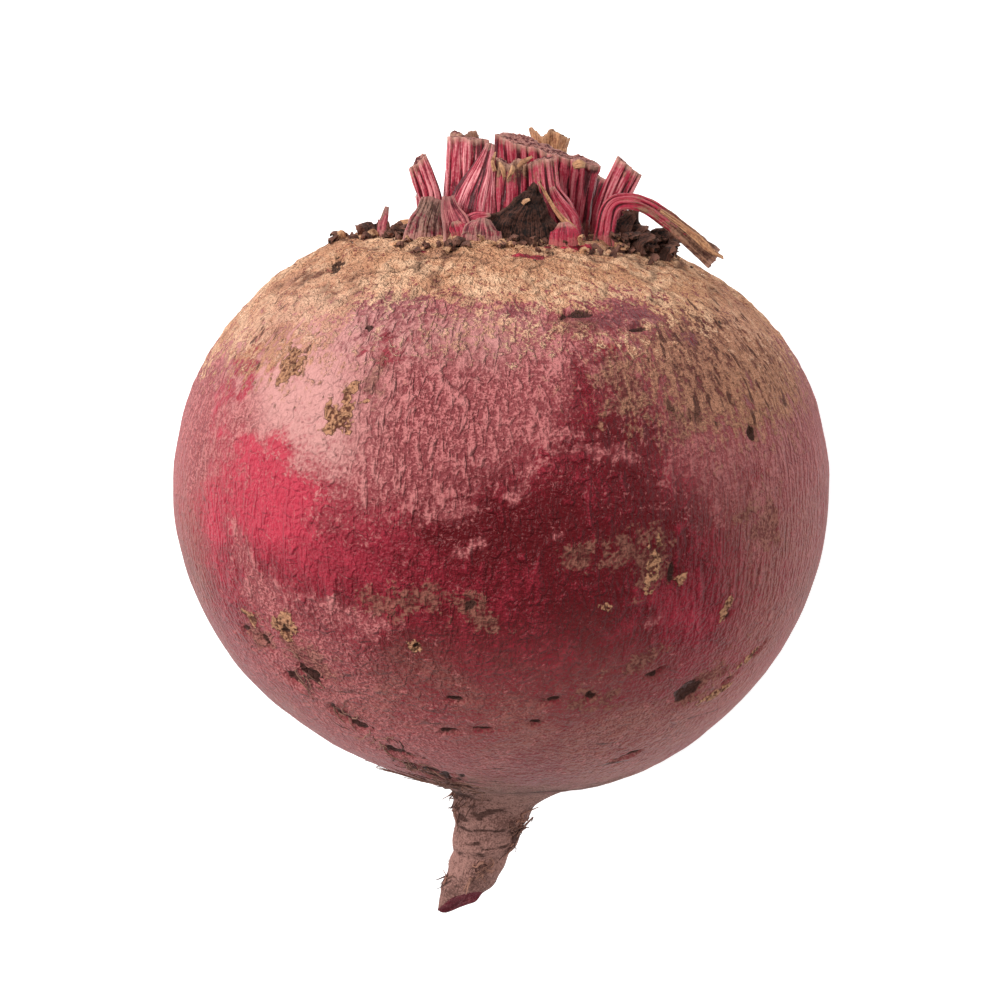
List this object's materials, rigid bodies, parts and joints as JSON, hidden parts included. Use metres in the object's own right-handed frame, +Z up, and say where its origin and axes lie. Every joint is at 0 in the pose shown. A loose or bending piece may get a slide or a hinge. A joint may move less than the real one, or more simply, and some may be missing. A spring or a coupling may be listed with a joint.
{
  "type": "beetroot",
  "caption": "Round red beetroot with a bent, cut tap root and a crown of trimmed leaf stalks and dry scales, lying on its side.",
  "frame": {"origin": "middle of the flat spot that the beet rests on, under its widest place", "axes": "+Y along the root's axis towards the crown, +X to the right seen from above, +Z up"},
  "size_m": [0.0904, 0.1117, 0.0891],
  "materials": {
    "root_skin": "thin beet skin: deep red and smooth in the middle, dusty pink bloom on the shoulders, corky tan crown, brown scabs and fine root hairs",
    "fresh_stalk": "ribbed crimson leaf stalk, satin, with tan fibres where it was cut",
    "dried_stalk": "half-dried leaf stalk: crimson fading to wrinkled, matt brown",
    "dry_scale": "dry, papery dark brown leaf scale with tan torn edges"
  },
  "bodies": {
    "root": {"root": "root_skin", "stalk_tall_left": "fresh_stalk", "stalk_tall_back": "fresh_stalk", "stalk_wide_right": "fresh_stalk", "stalk_centre_back": "fresh_stalk", "stalk_front_flap": "fresh_stalk", "stalk_front_torn": "fresh_stalk", "stalk_front_right": "fresh_stalk", "stalk_short_left": "fresh_stalk", "stalk_slanted_right": "fresh_stalk", "stalk_low_right_back": "fresh_stalk", "stalk_low_left_back": "fresh_stalk", "stalk_back_right": "fresh_stalk", "scale_red_front": "fresh_stalk", "stalk_arched_right": "dried_stalk", "leaf_base_left": "dried_stalk", "leaf_curl_left": "dried_stalk", "scale_low_front": "dried_stalk", "shard_left": "dried_stalk", "scale_dark_front": "dry_scale", "scale_curled_right": "dry_scale", "scale_back": "dry_scale", "leaf_scrap_back": "dry_scale"}
  },
  "joints": []
}
